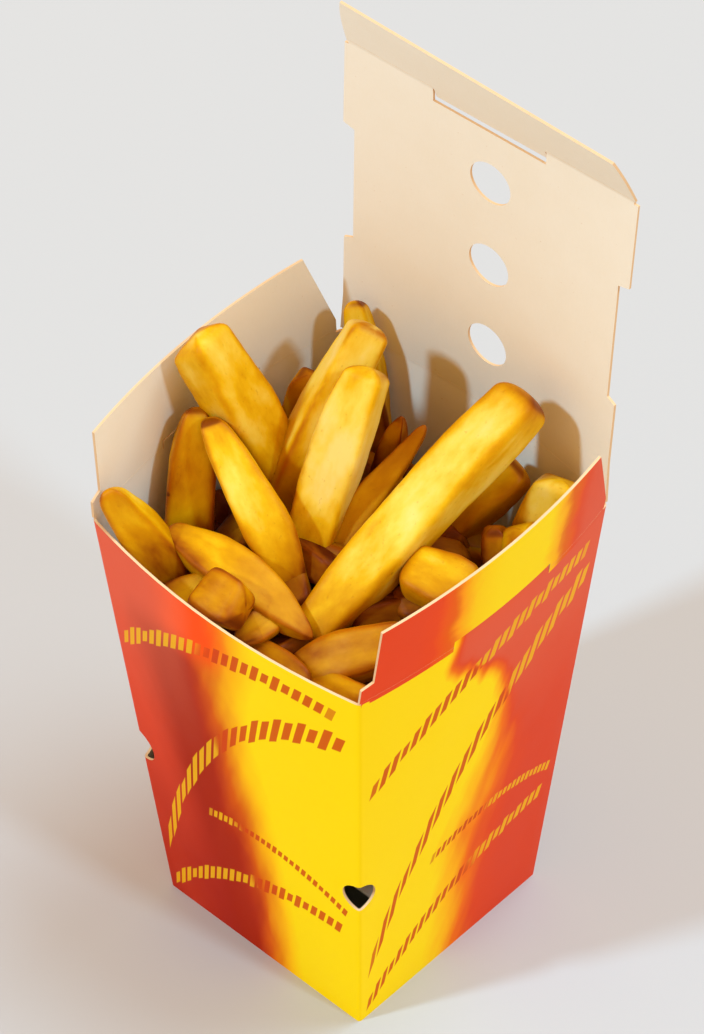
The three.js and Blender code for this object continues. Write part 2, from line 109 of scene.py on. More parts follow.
# The fries that stand out. Their brown is partly painted shade and light: higher for the fries at the
# front, which lie in shade, and lower for one that lies in the long fry's shadow.
FRIES = [
    Fry((-25.5, 12.3, 101.3), (-43.6, -8.3, 181.4), (16, 13), (0.8, 0.84), 42, 0.36, bend=1.5,
        cut=(-0.2, 0.62), cap=4.2),
    Fry((-25.2, -3.5, 117.2), (-20, 30, 172.6), (13.5, 12), (0.8, 0.8), -54, 0.26, bend=1.5,
        cut=(-0.1, 0.36), cap=3),
    Fry((-9.5, -12, 109.5), (-10, 18.5, 173), (13.2, 11.6), (0.75, 0.82), -14, 0.02, bend=1.5,
        cut=(0.1, 0.32)),
    Fry((7.5, -24, 122), (22.6, 40, 170.6), (15.4, 13.2), (0.7, 0.88), -18, 0.26, bend=1, cut=(0.1, 0.1),
        cap=4),
    Fry((-6, -13.5, 117), (-0.5, 28, 152), (8, 8), (0.5, 0.3), -26, 0.62),
    Fry((-0.7, -16.6, 121.1), (-36.5, -12, 160), (12.2, 11), (0.25, 0.45), 28, 0.48, bend=2),
    Fry((-34, -24.5, 111), (-42.5, -10, 158), (13, 10), (0.8, 0.4), -12, 0.52, bend=1, cut=(0, 0.42)),
    Fry((-25.5, -31, 110), (-41, -43.5, 155.5), (11.5, 9.5), (0.8, 0.55), 68, 0.5, bend=1,
        cut=(0.05, 0.7), cap=4.2),
    Fry((12.5, -27, 128), (-34, -30, 135.5), (12.2, 10.4), (0.2, 0.4), 14, 0.58, bend=1.5, cap=3),
    Fry((-24.5, -42, 126), (-13.5, -31, 131), (9, 8), (0.7, 0.7), -24, 0.4),
    Fry((-14, -39, 136), (0.5, -38, 137.5), (13, 11), (0.8, 0.82), -30, 0.78),
    Fry((-2, -39.5, 127), (3.5, -28, 130), (7.5, 7), (0.5, 0.5), -30, 0.45),
    Fry((11, -34, 117), (32.5, -13, 131), (13, 11.5), (0.7, 0.8), -30, 0.54, bend=1),
    Fry((-3.5, -38, 121), (20.5, -36.5, 122), (11, 10), (0.6, 0.6), -20, 0.56),
    Fry((13, -34, 118), (37, -31, 125.5), (9, 8.5), (0.7, 0.7), -23, 0.5),
    Fry((19.5, -1.5, 138.5), (39.5, 4.5, 137), (13.5, 12.5), (0.85, 0.8), -20, 0.46, cap=3.8),
    Fry((20, -6, 126), (30.5, 10.5, 128), (11, 10), (0.7, 0.7), -21, 0.68),
    Fry((10, 22.5, 124.5), (20, 40.5, 143), (13, 11.5), (0.7, 0.75), -24, 0.16, cut=(0.1, 0.3)),
    Fry((15, 21.5, 119), (14, 20.5, 131), (9, 8), (0.8, 0.6), 70, 0.95),
    Fry((30, 21.5, 122), (26.5, 24, 138), (8, 7.5), (0.8, 0.7), 10, 0.6),
    Fry((35, 26.5, 124), (34, 26.5, 140), (12, 11), (0.8, 0.75), 30, 0.3),
    Fry((29, 33.5, 114), (35, 39, 149.5), (13, 12), (0.8, 0.85), -60, 0.1, bend=0.5, cut=(0.2, 0.7)),
    Fry((-25, 38, 112), (-36.5, 40.5, 162), (9, 8.5), (0.8, 0.6), 40, 0.5, bend=1, cut=(0.1, 0.6)),
    Fry((-40, 22, 121), (-35.5, 23.5, 149), (10, 9.5), (0.8, 0.6), -90, 0.8),
    Fry((-12, 23, 126), (-6, 25.5, 153), (6, 6), (0.8, 0.3), -80, 1),
]

# The hidden core, the fries lying between those that stand out, of which skip lists the ones left out,
# and the ones below them, which are seen only through gaps.
HEAP = {"core_top": 104, "crown": 16, "core_sides": 96, "core_rings": (8, 20), "core_power": 4.5,
        "core_inset": 2.5, "lumps": 1.8}
FILLERS = {"count": 22, "seed": 11, "reach": 33, "height": 113, "crown": 15, "sink": -1, "rise": 4,
           "half": (17, 22), "side": (10, 12), "ends": (0.75, 0.75), "tilt": 6, "roll": 60,
           "brown": (0.35, 0.75), "skip": (16, 18, 19)}
DEEP = {"count": 34, "turn": 2.4, "reach": 34, "height": 106, "crown": 12, "crown_reach": 40, "uneven": 3,
        "half": 19, "side": (10, 13), "thickness": 10.5, "ends": (0.7, 0.75), "tilt": 7, "roll": 60,
        "brown": (0.3, 0.8)}
FINENESS = {"shown": (44, 48), "filler": (22, 32), "deep": (14, 24)}   # rings along and sides round a fry
DRAW_SEED = 5

CAP_RINGS = 8                         # rings in each rounded end
CAP_POWER = 2.2                       # how blunt that rounding is
SECTION_POWER = 5.2                   # 2 is an ellipse, more is squarer

# ------------------------------------------------------------------ small helpers


def lerp(a, b, t):
    return a + (b - a) * t


def smooth(t):
    """0 below 0, 1 above 1 and an even S-shaped curve between them."""
    t = np.clip(t, 0, 1)
    return t * t * (3 - 2 * t)


def unit(vectors):
    return vectors / np.linalg.norm(vectors, axis=-1, keepdims=True)


def stack(x, y, z):
    return np.stack(np.broadcast_arrays(x, y, z), axis=-1)


def squared(wave, power):
    """A sine or cosine whose size is raised to a power and whose sign is kept, as a superellipse has it."""
    return np.sign(wave) * np.abs(wave) ** power


def lines(stops, steps):
    """Positions from the first stop to the last, each stretch cut evenly into steps of at most its own."""
    cuts = [np.linspace(a, b, max(1, math.ceil((b - a) / step)) + 1)[:-1]
            for a, b, step in zip(stops[:-1], stops[1:], steps)]
    return np.append(np.concatenate(cuts), stops[-1])


def rgb(red, green, blue):
    """A colour given as 0 to 255 on screen, as the linear values that shaders take."""
    screen = np.array([red, green, blue]) / 255
    linear = np.where(screen <= 0.04045, screen / 12.92, ((screen + 0.055) / 1.055) ** 2.4)
    return (*linear.tolist(), 1.0)


def random_source(seed):
    """Repeatable random numbers between 0 and 1: each is the last one times 16807, modulo 2^31 - 1."""
    state = seed
    while True:
        state = (state * 16807) % 2147483647
        yield state / 2147483647


def make_piece(name, points, loops, loop_start, finishes, face_finish=None, flat=None, values=None,
               sharp=math.radians(SHARP_FROM)):
    """A mesh object from arrays: points in mm, all faces' loops end to end, and where each face starts."""
    mesh = bpy.data.meshes.new(name)
    mesh.vertices.add(len(points))
    mesh.vertices.foreach_set("co", (np.asarray(points, float) * MM).astype(np.float32).ravel())
    mesh.loops.add(len(loops))
    mesh.loops.foreach_set("vertex_index", np.asarray(loops, np.int32))
    mesh.polygons.add(len(loop_start))
    mesh.polygons.foreach_set("loop_start", np.asarray(loop_start, np.int32))
    for finish in finishes:
        mesh.materials.append(finish)
    if face_finish is not None:
        mesh.polygons.foreach_set("material_index", np.asarray(face_finish, np.int32))
    mesh.update(calc_edges=True)
    if flat is not None:
        mesh.uv_layers.new(name="flat").data.foreach_set("uv", flat.astype(np.float32).ravel())
    for key, value in (values or {}).items():
        flat_list = np.asarray(value, np.float32)
        kind, field = ("FLOAT", "value") if flat_list.ndim == 1 else ("FLOAT_VECTOR", "vector")
        mesh.attributes.new(key, kind, "POINT").data.foreach_set(field, flat_list.ravel())
    mesh.polygons.foreach_set("use_smooth", np.ones(len(loop_start), bool))
    mesh.set_sharp_from_angle(angle=sharp)
    mesh.validate()
    piece = bpy.data.objects.new(name, mesh)
    bpy.context.scene.collection.objects.link(piece)
    return piece


# ------------------------------------------------------------------ finishes: the node builder


def operator(operation, reflected=False):
    """A method of Value that adds one Math node, with its operands the other way round if reflected."""
    def method(self, *others):
        operands = (*others, self) if reflected else (self, *others)
        return self.finish.node("Math", {"operation": operation}, dict(enumerate(operands)))

    return method


class Value:
    """One output of a node. Arithmetic on it adds Math nodes; colours go through Finish.mix instead."""

    def __init__(self, finish, socket):
        self.finish = finish
        self.socket = socket

    __add__, __radd__ = operator("ADD"), operator("ADD", reflected=True)
    __sub__, __rsub__ = operator("SUBTRACT"), operator("SUBTRACT", reflected=True)
    __mul__, __rmul__ = operator("MULTIPLY"), operator("MULTIPLY", reflected=True)
    __truediv__, __pow__, __abs__ = operator("DIVIDE"), operator("POWER"), operator("ABSOLUTE")
    at_least, at_most = operator("MAXIMUM"), operator("MINIMUM")
    sine, floor, nearest, part = operator("SINE"), operator("FLOOR"), operator("ROUND"), operator("FRACT")

    def ramp(self, low, high):
        """0 where the value is low, 1 where it is high, S-shaped between; low may be the larger."""
        return self.finish.node("MapRange", {"interpolation_type": "SMOOTHSTEP"},
                                {"Value": self, "From Min": low, "From Max": high})


class Finish:
    """A procedural material: one Principled shader and the nodes that feed it."""

    def __init__(self, name, **constants):
        self.material = bpy.data.materials.new(name)
        self.material.use_nodes = True
        self.tree = self.material.node_tree
        self.shader = self.tree.nodes["Principled BSDF"]
        self.feed(**constants)

    def feed(self, **sockets):
        """Sets or links the shader's own sockets; an underscore in a name stands for a space."""
        self.wire(self.shader, {key.replace("_", " "): value for key, value in sockets.items()})

    def wire(self, node, sockets):
        for key, value in sockets.items():
            if isinstance(value, Value):
                self.tree.links.new(value.socket, node.inputs[key])
            else:
                node.inputs[key].default_value = value

    def node(self, kind, settings=None, sockets=None, output=0):
        """Adds a node: its settings first, a ramp's stops among them, then its sockets' values or links."""
        node = self.tree.nodes.new("ShaderNode" + kind)
        for key, value in (settings or {}).items():
            if key == "stops":
                elements = node.color_ramp.elements
                while len(elements) < len(value):
                    elements.new(0.5)
                for element, (position, colour) in zip(elements, value):
                    element.position = position
                    element.color = colour
            else:
                setattr(node, key, value)
        self.wire(node, sockets or {})
        return Value(self, node.outputs[output])

    def mix(self, share, first, second, blend="MIX"):
        """The first colour where share is 0, the second where it is 1."""
        return self.node("Mix", {"data_type": "RGBA", "blend_type": blend},
                         {0: share, 6: first, 7: second}, output=2)

    def place(self):
        """The point on the object, in metres in its own frame."""
        return self.node("TexCoord", output=3)

    def noise(self, size, detail=2, stretch=(1, 1, 1), shift=(0, 0, 0), distortion=0):
        """Cloudy noise from 0 to 1 with lumps of about the given size in mm."""
        point = self.node("Mapping", sockets={"Vector": self.place(), "Scale": stretch, "Location": shift})
        return self.node("TexNoise", {"noise_dimensions": "3D"},
                         {"Vector": point, "Scale": 1 / (size * MM), "Detail": detail,
                          "Distortion": distortion})

    def attribute(self, name, output=2):
        return self.node("Attribute", {"attribute_name": name}, output=output)

    def own(self, size, shift=(0, 0, 0)):
        """The point in its own fry, divided by a size in mm along each of the fry's directions."""
        return self.node("Mapping", sockets={"Vector": self.attribute("own", 1), "Location": shift,
                                             "Scale": tuple(1 / s for s in size)})

    def own_noise(self, size, detail=2, shift=(0, 0, 0)):
        """Cloudy noise from 0 to 1 that follows a fry, with lumps of about the given sizes in mm."""
        return self.node("TexNoise", {"noise_dimensions": "3D"},
                         {"Vector": self.own(size, shift), "Scale": 1.0, "Detail": detail})

    def flat(self):
        """The board's own coordinates: which wall and how far along it, and the share of the rim's height."""
        along = self.node("SeparateXYZ", sockets={0: self.node("UVMap", {"uv_map": "flat"})})
        return along, Value(self, along.socket.node.outputs[1])

    def bumped(self, height, strength, distance):
        """A Bump node over the height, distance in mm."""
        self.feed(Normal=self.node("Bump", sockets={"Height": height, "Strength": strength,
                                                    "Distance": distance * MM}))


# ------------------------------------------------------------------ finishes of the board

YELLOW = rgb(255, 224, 0)
OCHRE = rgb(255, 186, 0)
ORANGE = rgb(243, 116, 2)
RED = rgb(226, 72, 28)
DEEP_RED = rgb(220, 70, 38)
# Rust ink; on the walls partly painted shade along the edge of the yellow.
RUST = rgb(164, 34, 0)
# Crimson; on the walls partly painted shade that grows towards the foot.
CRIMSON = rgb(162, 30, 16)
BRIGHT_ORANGE = rgb(255, 80, 0)
# The colour of the painted sheen, a painted reflection on the red.
PAINTED_SHEEN_RED = rgb(236, 124, 92)
BAR_ON_YELLOW = rgb(206, 62, 8)
BAR_ON_RED = rgb(240, 186, 20)
WORN_INK = rgb(120, 60, 10)

# Rows of short slanted bars, the same on every wall: the row's height at the wall's left end, middle
# and right end as shares of the rim's height, where along the wall it runs, half a bar's length in mm
# and how many bars the wall's width would hold.
ROWS = [
    {"heights": (0.69, 0.905, 0.925), "from": 0.04, "to": 0.92, "half": 3.1, "bars": 27},
    {"heights": (0.08, 0.665, 0.86), "from": 0.05, "to": 0.97, "half": 4.4, "bars": 22},
    {"heights": (0.232, 0.392, 0.315), "from": 0.33, "to": 0.96, "half": 1.7, "bars": 40},
    {"heights": (0.01, 0.23, 0.27), "from": 0.04, "to": 0.93, "half": 2.8, "bars": 27},
]
# A bar: how much it leans, its shortest length and what it may have on top as shares of the row's, half
# its width as a share of its place, from and to its soft edge, and the softness of its ends.
BAR = {"lean": 0.45, "shortest": 0.65, "longer": 0.45, "half_width": (0.36, 0.3), "soft": 0.0015}


def printed_board(name, fields):
    """Coated board printed in fields that run from yellow through orange to red.

    fields(finish, along, height) gives how far a point lies from yellow (0) to red (1), how rusty and
    how crimson it is, on the walls partly painted shade, how bright its orange, how much painted sheen, a
    painted reflection, lies on its red, and the mask of the bars, which are red on yellow and yellow on red.
    """
    finish = Finish(name, Coat_Weight=0.015, Coat_Roughness=0.25, IOR=1.45, Specular_IOR_Level=0.03)
    along, height = finish.flat()
    redness, rust, crimson, bright, painted_sheen, bar = fields(finish, along, height)
    colour = finish.node("ValToRGB", {"stops": [
        (0.0, YELLOW), (0.12, YELLOW), (0.34, OCHRE), (0.56, ORANGE), (0.8, RED), (1.0, DEEP_RED)]},
        {0: redness})
    colour = finish.mix(rust, colour, RUST)
    colour = finish.mix(crimson, colour, CRIMSON)
    colour = finish.mix(bright, colour, BRIGHT_ORANGE)
    # Painted sheen: a lighter red painted where the coat would throw back light.
    colour = finish.mix(painted_sheen * redness.ramp(0.7, 1.0), colour, PAINTED_SHEEN_RED)
    on_yellow = finish.mix(bar * redness.ramp(0.75, 0.5) * 0.9, colour, BAR_ON_YELLOW)
    barred = finish.mix(bar * redness.ramp(0.6, 0.75) * 0.85, on_yellow, BAR_ON_RED)
    grain = finish.noise(0.35, detail=3)
    clouds = finish.noise(14, detail=3)
    worn = finish.mix((clouds - 0.5) * 0.2 + (grain - 0.5) * 0.1, barred, WORN_INK, blend="SOFT_LIGHT")
    finish.feed(Base_Color=worn, Roughness=0.34 + clouds * 0.12 + grain * 0.05)
    finish.bumped(grain * 0.5 + finish.noise(5, detail=2), 0.25, 0.05)
    return finish.material


def bar_mask(finish, share, height):
    """1 on the bars. A row follows a parabola through its three heights; bars lean and differ in length."""
    total = None
    for row in ROWS:
        low, middle, high = row["heights"]
        rise, bend = 4 * middle - 3 * low - high, 2 * low + 2 * high - 4 * middle
        above = height - (share * rise + share * share * bend + low)
        place = (share - above * BAR["lean"]) * row["bars"]
        number = place.floor()
        length = finish.node("TexWhiteNoise", {"noise_dimensions": "1D"}, {"W": number})
        half = (length * BAR["longer"] + BAR["shortest"]) * (row["half"] / RIM_HEIGHT)
        across = abs(place - number - 0.5)
        first, last = row["from"] * row["bars"], row["to"] * row["bars"] - 1
        within = number.ramp(first - 0.5, first) * number.ramp(last + 0.5, last)
        mask = (half - abs(above)).ramp(-BAR["soft"], BAR["soft"]) * across.ramp(*BAR["half_width"]) * within
        total = mask if total is None else total.at_least(mask)
    return total


def wall_fields(finish, along, height):
    """Yellow at every second corner fold and red at the others.

    The edge of the yellow is a sum of S-curves in the height on the walls left of a yellow fold, and a
    sine, cut off below, on those right of it. Noise makes it ragged. Along it, on the former, lie rust
    on either side, partly printed and partly painted shade, crimson low down beyond it, partly printed
    and partly painted shade that grows towards the foot, and bright orange at the rim.
    """
    from_yellow = abs(along - 2 * (along * 0.5).nearest())
    share = along.part()
    right_of = (along * 0.5).part().ramp(0.501, 0.499)
    left_of = 1 - right_of
    left_edge = 0.44 + height.ramp(0.1, 0.8) * 0.12 - height.ramp(0.8, 0.95) * 0.06
    right_edge = (0.43 + ((height - 0.4) * 6.2).sine() * 0.12).at_least(0.4)
    right_edge = right_edge - height.ramp(0.8, 0.95) * 0.1
    edge = left_edge + (right_edge - left_edge) * right_of
    flow = finish.node("CombineXYZ", sockets={0: along * 1.6 + height * 1.1, 1: height * 0.9 - along * 1.3})
    ragged = finish.node("TexNoise", sockets={"Vector": flow, "Scale": 2.6, "Detail": 3, "Distortion": 0.4})
    streaks = finish.node("TexNoise", sockets={
        "Vector": finish.node("VectorMath", {"operation": "MULTIPLY"}, {0: flow, 1: (1.1, 5, 1)}),
        "Scale": 1.3, "Detail": 2})
    beyond = from_yellow - edge + (ragged - 0.5) * 0.1 + (streaks - 0.5) * (0.06 + right_of * 0.12)
    fade = 0.2 + right_of * (height.ramp(0.75, 0.35) * 0.24 - 0.08)
    redness = (beyond / fade).ramp(right_of * 0.8 - 1.3, 1.1)
    # Rust on either side of the yellow's edge: partly printed, partly painted shade.
    rust = beyond.ramp(-0.12, 0.14) * beyond.ramp(0.4, 0.18) * left_of * (0.8 + streaks * 0.4)
    rust = rust * height.ramp(0.93, 0.8)
    # Crimson low down beyond the edge: partly printed, partly painted shade towards the foot.
    crimson = left_of * beyond.ramp(0.06, 0.3) * height.ramp(0.62, 0.1) * (0.45 + ragged * 0.5)
    bright = left_of * height.ramp(0.8, 0.93) * beyond.ramp(-0.06, 0.03) * beyond.ramp(0.3, 0.12)
    # Painted sheen: a painted reflection on the red, stronger towards the rim.
    painted_sheen = height.ramp(0.45, 0.95) * 0.35
    return redness, rust.at_most(0.95), crimson.at_most(0.8), bright, painted_sheen, bar_mask(finish, share, height)


def flap_fields(finish, along, height):
    """Red at both ends of a side flap and yellow between them, with orange where they meet."""
    none = height * 0
    ragged = finish.noise(9, detail=3, distortion=0.5)
    beyond = abs(along - 0.06) + (ragged - 0.5) * 0.16
    rust = beyond.ramp(0.4, 0.45) * beyond.ramp(0.56, 0.47) * 0.2
    # The fifth value is a painted sheen, a painted reflection rising along the flap from its middle.
    return beyond.ramp(0.14, 0.76), rust, none, along.ramp(0, -0.5) * 0.3, along.ramp(0, 0.6) * 0.3, none


def lid_fields(finish, along, height):
    """Red at one side of the lid and yellow at the other, as on the wall below, with a slanted edge."""
    none = height * 0
    ragged = finish.noise(26, detail=3, distortion=0.6)
    beyond = (1 - along) * 0.5 + (height - 1.3) * 0.35 + (ragged - 0.5) * 0.2
    rust = beyond.ramp(0.4, 0.46) * beyond.ramp(0.6, 0.48) * 0.5
    return beyond.ramp(0.2, 0.85), rust, none, none, none, none


def plain_board(name, tint):
    """The uncoated inside of the board: pale, with faint fibres and a slow warm mottle."""
    finish = Finish(name, Roughness=0.62, IOR=1.42)
    fibres = finish.noise(0.6, detail=4, stretch=(1, 1, 0.35))
    mottle = finish.noise(9, detail=3)
    flecks = finish.noise(0.9, detail=2, shift=(3, 1, 2)).ramp(0.72, 0.8)
    base = finish.mix((mottle - 0.5) * 0.5 + (fibres - 0.5) * 0.35 + 0.3, tint["light"], tint["warm"])
    colour = finish.mix(flecks * 0.3, base, tint["fleck"])
    finish.feed(Base_Color=colour, Roughness=0.52 + fibres * 0.16)
    finish.bumped(fibres + mottle * 0.6, 0.35, 0.05)
    return finish.material


def cut_edge():
    """The board's cut edge: pale fibres in thin layers, a little soiled."""
    finish = Finish("board_edge", Roughness=0.8)
    layers = finish.noise(0.5, detail=3)
    soil = finish.noise(6, detail=2)
    colour = finish.mix(layers * 0.5 + (soil - 0.5) * 0.4, rgb(226, 192, 148), rgb(206, 162, 114))
    finish.feed(Base_Color=colour)
    finish.bumped(layers, 0.4, 0.06)
    return finish.material


WALL_PRINT = printed_board("wall_print", wall_fields)
FLAP_PRINT = printed_board("flap_print", flap_fields)
LID_PRINT = printed_board("lid_print", lid_fields)
INSIDE = plain_board("board_inside", {"light": rgb(241, 234, 218), "warm": rgb(235, 225, 203),
                                      "fleck": rgb(200, 160, 110)})
PAD = plain_board("board_pad", {"light": rgb(250, 248, 246), "warm": rgb(242, 236, 226),
                                "fleck": rgb(170, 120, 60)})
EDGE = cut_edge()

# ------------------------------------------------------------------ finishes of the fries


FRIED_STOPS = [(0.0, rgb(240, 210, 114)), (0.18, rgb(236, 199, 72)), (0.36, rgb(227, 174, 15)),
               (0.52, rgb(208, 145, 0)), (0.7, rgb(188, 120, 0)), (0.86, rgb(160, 86, 0)),
               (1.0, rgb(108, 42, 2))]
FRIED = {"line": rgb(176, 92, 0), "crisp": rgb(106, 40, 4), "pore": rgb(168, 100, 4), "pit": rgb(70, 26, 6),
         "shade": rgb(150, 84, 8)}
SHADE_LOW_IN_HEAP = (0.153, 0.124)            # the heights in metres between which fries get darker downwards, painted shade deep in the heap
PIT_SPACING = 11


def fried_potato(name, painted_shade):
    """Fried potato: one scale from cream through gold to brown, darker at edges, ends and in patches.

    Each point carries its place in its own fry (own, in mm: across, through and along, with a shift
    that differs from fry to fry), how near it lies to a long edge (near), how crisp its edge is
    (edge), how near it lies to an end (end) and how brown its fry is (brown). As painted shade, fries
    get darker low in the heap, and painted_shade makes the whole piece darker, for what lies under the
    others.
    """
    finish = Finish(name, Subsurface_Weight=0.15, Subsurface_Scale=0.003, IOR=1.4,
                    Subsurface_Radius=(1.0, 0.5, 0.12), Specular_IOR_Level=0.14)
    edge = finish.attribute("edge")
    end = finish.attribute("end")
    brown = finish.attribute("brown")
    patches = finish.own_noise((10, 10, 26), detail=2)
    blotches = finish.own_noise((5, 5, 11), detail=3, shift=(40, 20, 70))
    grain = finish.own_noise((1.3, 1.3, 2.4), detail=3)
    height = finish.node("SeparateXYZ", sockets={0: finish.place()}, output=2)
    # Painted shade: fries darker low in the heap.
    low = height.ramp(*SHADE_LOW_IN_HEAP) * 0.36
    fried = (brown * 0.62 + low + finish.attribute("near") ** 3 * 0.18 + end * 0.28 + (patches - 0.5) * 1.0
             + (blotches - 0.5) * 0.5 + (grain - 0.5) * 0.14 + 0.08)
    golden = finish.node("ValToRGB", {"stops": FRIED_STOPS}, {0: fried})
    line = edge * (blotches * 1.5 + brown * 0.5 + end * 0.5).ramp(0.55, 1.05)
    lined = finish.mix(line * 0.9, golden, FRIED["line"])
    crisp = finish.mix((line * (end + brown)).ramp(0.4, 1.1) * 0.8, lined, FRIED["crisp"])
    pores = finish.own_noise((1.0, 1.0, 1.3), detail=1, shift=(9, 9, 9)).ramp(0.66, 0.78)
    pored = finish.mix(pores * 0.22, crisp, FRIED["pore"])
    pits = finish.node("TexVoronoi", {"feature": "F1"},
                       {"Vector": finish.own((1, 1, 1)), "Scale": 1 / PIT_SPACING})
    pit = pits.ramp(0.075, 0.035) * finish.own_noise((14, 14, 14), shift=(5, 5, 5)).ramp(0.55, 0.62)
    pitted = finish.mix(pit * 0.8, pored, FRIED["pit"])
    # Painted shade: the whole piece darkened for fries lying under the others.
    shaded = finish.mix(painted_shade, pitted, FRIED["shade"], blend="MULTIPLY")
    finish.feed(Base_Color=shaded, Roughness=0.42 + grain * 0.16 - edge * 0.04)
    finish.bumped(grain * 0.4 + blotches * 0.5 - pit * 1.5 - pores * 0.3, 0.3, 0.25)
    return finish.material


POTATO = fried_potato("fried_potato", 0.0)
# Shaded copies of the same finish: painted shade for the fries under the others and deep in the heap.
POTATO_SHADED_UNDER = fried_potato("fried_potato_shaded_under", 0.55)
POTATO_SHADED_DEEP = fried_potato("fried_potato_shaded_deep", 0.95)

# ------------------------------------------------------------------ board panels


def around(cells, ring):
    """The cell masks of the neighbours below, to the right, above and to the left of each cell."""
    padded = np.pad(np.pad(cells, ((1, 1), (0, 0))), ((0, 0), (1, 1)), mode="wrap" if ring else "constant")
    return padded[:-2, 1:-1], padded[1:-1, 2:], padded[2:, 1:-1], padded[1:-1, :-2]


def panel_arrays(across, up, surface, keep, flat, ring=False, thickness=BOARD, proud=0.0):
    """A sheet of board as arrays.

    The outer face is surface(across, up) on the grid, moved out by proud. The inner face lies one
    thickness further in, along the face's own normal, the cross product of its two tangents. Edges
    where a kept cell has no kept neighbour get a strip that joins the two faces.
    """
    step = 0.02                       # how far on each side of a point its tangents are taken
    tangent_across = surface(across + step, up) - surface(across - step, up)
    tangent_up = surface(across, up + step) - surface(across, up - step)
    normal = unit(np.cross(tangent_across, tangent_up))
    outer = surface(across, up) + normal * proud
    inner = outer - normal * thickness
    rows, columns = across.shape
    distinct = columns - 1 if ring else columns
    points = np.concatenate([outer[:, :distinct].reshape(-1, 3), inner[:, :distinct].reshape(-1, 3)])
    inside = rows * distinct
    corner = np.array([(0, 0), (0, 1), (1, 1), (1, 0)])     # a cell's corners, round it from low left

    def corners(mask, order):
        """Grid rows and columns of each marked cell's corners, in the given order."""
        row, column = np.nonzero(mask)
        return row[:, None] + corner[order, 0], column[:, None] + corner[order, 1]

    faces, flats, kinds = [], [], []

    def add(r, c, deep, kind):
        """Faces from grid rows and columns; deep says which corners lie on the inner face."""
        faces.append(r * distinct + c % distinct + inside * np.array(deep))
        flats.append(flat[r, c])
        kinds.append(np.full(len(r), kind))

    r, c = corners(keep, [0, 1, 2, 3])
    add(r, c, (0, 0, 0, 0), 0)
    add(r[:, ::-1], c[:, ::-1], (1, 1, 1, 1), 1)
    for first, neighbour in enumerate(around(keep, ring)):
        second = (first + 1) % 4
        r, c = corners(keep & ~neighbour, [second, first, first, second])
        add(r, c, (0, 0, 1, 1), 2)
    faces, flats, kinds = np.concatenate(faces), np.concatenate(flats), np.concatenate(kinds)
    used, index = np.unique(faces, return_inverse=True)
    return points[used], index.reshape(faces.shape), flats, kinds


def counted_on(faces, points):
    """The faces of several parts as one list, each part's counted on from the points before it."""
    starts = np.cumsum([0] + [len(part) for part in points[:-1]])
    return np.concatenate([part + start for part, start in zip(faces, starts)])


def board_piece(name, parts, outside):
    """One piece from one or more panels' arrays, with the given finish on its outer face."""
    points, faces, flats, kinds = zip(*parts)
    faces = counted_on(faces, points)
    return make_piece(name, np.concatenate(points), faces.ravel(), np.arange(len(faces)) * 4,
                      [outside, INSIDE, EDGE], np.concatenate(kinds), np.concatenate(flats).reshape(-1, 2))


def cell_middles(grid):
    return (grid[:-1, :-1] + grid[1:, :-1] + grid[:-1, 1:] + grid[1:, 1:]) / 4


def every_cell(grid):
    """A mask that keeps all the cells of a grid."""
    return np.ones((grid.shape[0] - 1, grid.shape[1] - 1), bool)


def flat_place(across, up):
    """Where a point above the rim lies in the board's own coordinates, for its print."""
    return np.stack([across / HALF_MOUTH, 1 + up / RIM_HEIGHT], -1)


def corner_mask(cells):
    """The grid points that touch a marked cell."""
    touched = np.zeros((cells.shape[0] + 1, cells.shape[1] + 1), bool)
    for rows in (slice(None, -1), slice(1, None)):
        for columns in (slice(None, -1), slice(1, None)):
            touched[rows, columns] |= cells
    return touched


def punch(across, up, keep, middle, radius):
    """Leaves out the cells whose middle lies in a circle and moves the points on their border onto it."""
    inside = np.hypot(cell_middles(across) - middle[0], cell_middles(up) - middle[1]) < radius
    border = corner_mask(inside) & corner_mask(~inside)
    away = np.hypot(across - middle[0], up - middle[1])
    pull = np.where(border, radius / np.maximum(away, 1e-6), 1.0)
    return (middle[0] + (across - middle[0]) * pull, middle[1] + (up - middle[1]) * pull,
            keep & ~inside)


def half_width(z):
    """Half the outside width between the corner folds, at a height."""
    return lerp(FOOT_SIDE, MOUTH_SIDE, np.minimum(z, RIM_HEIGHT) / RIM_HEIGHT) / 2


def swell(z, share):
    """How far a wall swells outwards, for a share of the way from its middle to its fold."""
    return WALL_BULGE * (np.minimum(z, RIM_HEIGHT) / RIM_HEIGHT) * (1 - share ** 2)


OUTWARD = np.array([[-1, 0], [0, -1], [1, 0], [0, 1]])      # left, front, right and back wall
ONWARD = np.array([[0, -1], [1, 0], [0, 1], [-1, 0]])


def bare_wall(round_about, z):
    """A point of the walls: round_about counts walls from the back left fold, z is the height."""
    turn = np.mod(round_about, 4)
    wall = np.minimum(turn.astype(int), 3)
    share = 2 * (turn - wall) - 1
    half = half_width(z)
    flat = OUTWARD[wall] * (half + swell(z, share))[..., None] + ONWARD[wall] * (share * half)[..., None]
    return stack(flat[..., 0], flat[..., 1], z)


def wall_surface(round_about, z):
    """The walls with rounded folds: near one, a parabola between points a fold radius away on each wall."""
    fold = np.round(round_about)
    width = 2 * half_width(z)
    away = (round_about - fold) * width / FOLD_ROUND
    t = np.clip((away + 1) / 2, 0, 1)[..., None]
    before = bare_wall(fold - FOLD_ROUND / width, z)
    after = bare_wall(fold + FOLD_ROUND / width, z)
    rounded = (1 - t) ** 2 * before + 2 * t * (1 - t) * bare_wall(fold, z) + t ** 2 * after
    return np.where((np.abs(away) < 1)[..., None], rounded, bare_wall(round_about, z))


def tab_share(y):
    """Where a rim tab's end lies along its wall, as a share of the wall's length."""
    return (y / HALF_MOUTH + 1) / 2


